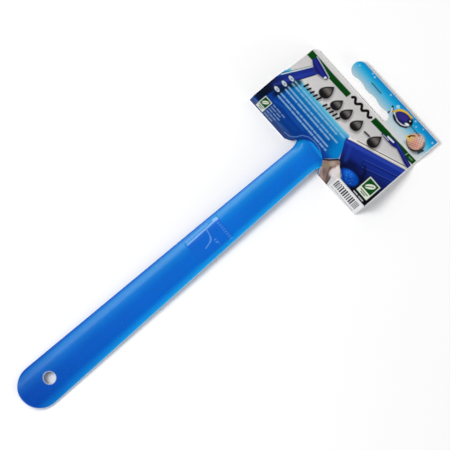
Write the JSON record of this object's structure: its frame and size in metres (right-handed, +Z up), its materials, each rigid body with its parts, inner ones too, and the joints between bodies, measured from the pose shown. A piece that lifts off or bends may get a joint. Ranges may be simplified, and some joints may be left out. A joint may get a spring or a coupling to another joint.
{
  "type": "algae scraper",
  "caption": "Flat aquarium glass scraper: long convex plastic handle with a hanging hole, T-shaped head gripping a guarded steel blade, in a folded and stapled hanging card.",
  "frame": {"origin": "under the middle of the object's box, on the surface it lies on", "axes": "+Y along the tool from the handle's end to the card's header, +X across it, +Z up out of the printed face"},
  "size_m": [0.1, 0.315, 0.0154],
  "materials": {
    "blue_plastic": "satin moulded blue plastic",
    "stainless_steel": "ground stainless steel",
    "guard_plastic": "pale translucent plastic",
    "printed_card": "glossy colour print on card",
    "plain_card": "uncoated white card",
    "staple_wire": "dark galvanised wire"
  },
  "bodies": {
    "scraper": {"handle": "blue_plastic", "hinge_pin": "stainless_steel", "card_back": "plain_card"},
    "clamp": {"blade_clamp": "blue_plastic"},
    "blade_strip": {"blade": "stainless_steel"},
    "guard": {"blade_guard": "guard_plastic"},
    "card_leaf": {"card_front": "printed_card", "staple_left": "staple_wire", "staple_right": "staple_wire"}
  },
  "joints": [
    {"name": "clamp_hinge", "type": "hinge", "parent": "scraper", "child": "clamp", "pos_m": [0.0005, 0.099, 0.0094], "axis": [1, 0, 0], "range_deg": [0, 5.5]},
    {"name": "blade_slide", "type": "slide", "parent": "scraper", "child": "blade_strip", "axis": [1, 0, 0], "range_m": [0, 0.072]},
    {"name": "guard_slide", "type": "slide", "parent": "blade_strip", "child": "guard", "axis": [-1, 0, 0], "range_m": [0, 0.072]},
    {"name": "card_fold", "type": "hinge", "parent": "scraper", "child": "card_leaf", "pos_m": [0, 0.0893, 0.0152], "axis": [0.9974, 0.0718, 0], "range_deg": [0, 150]}
  ]
}
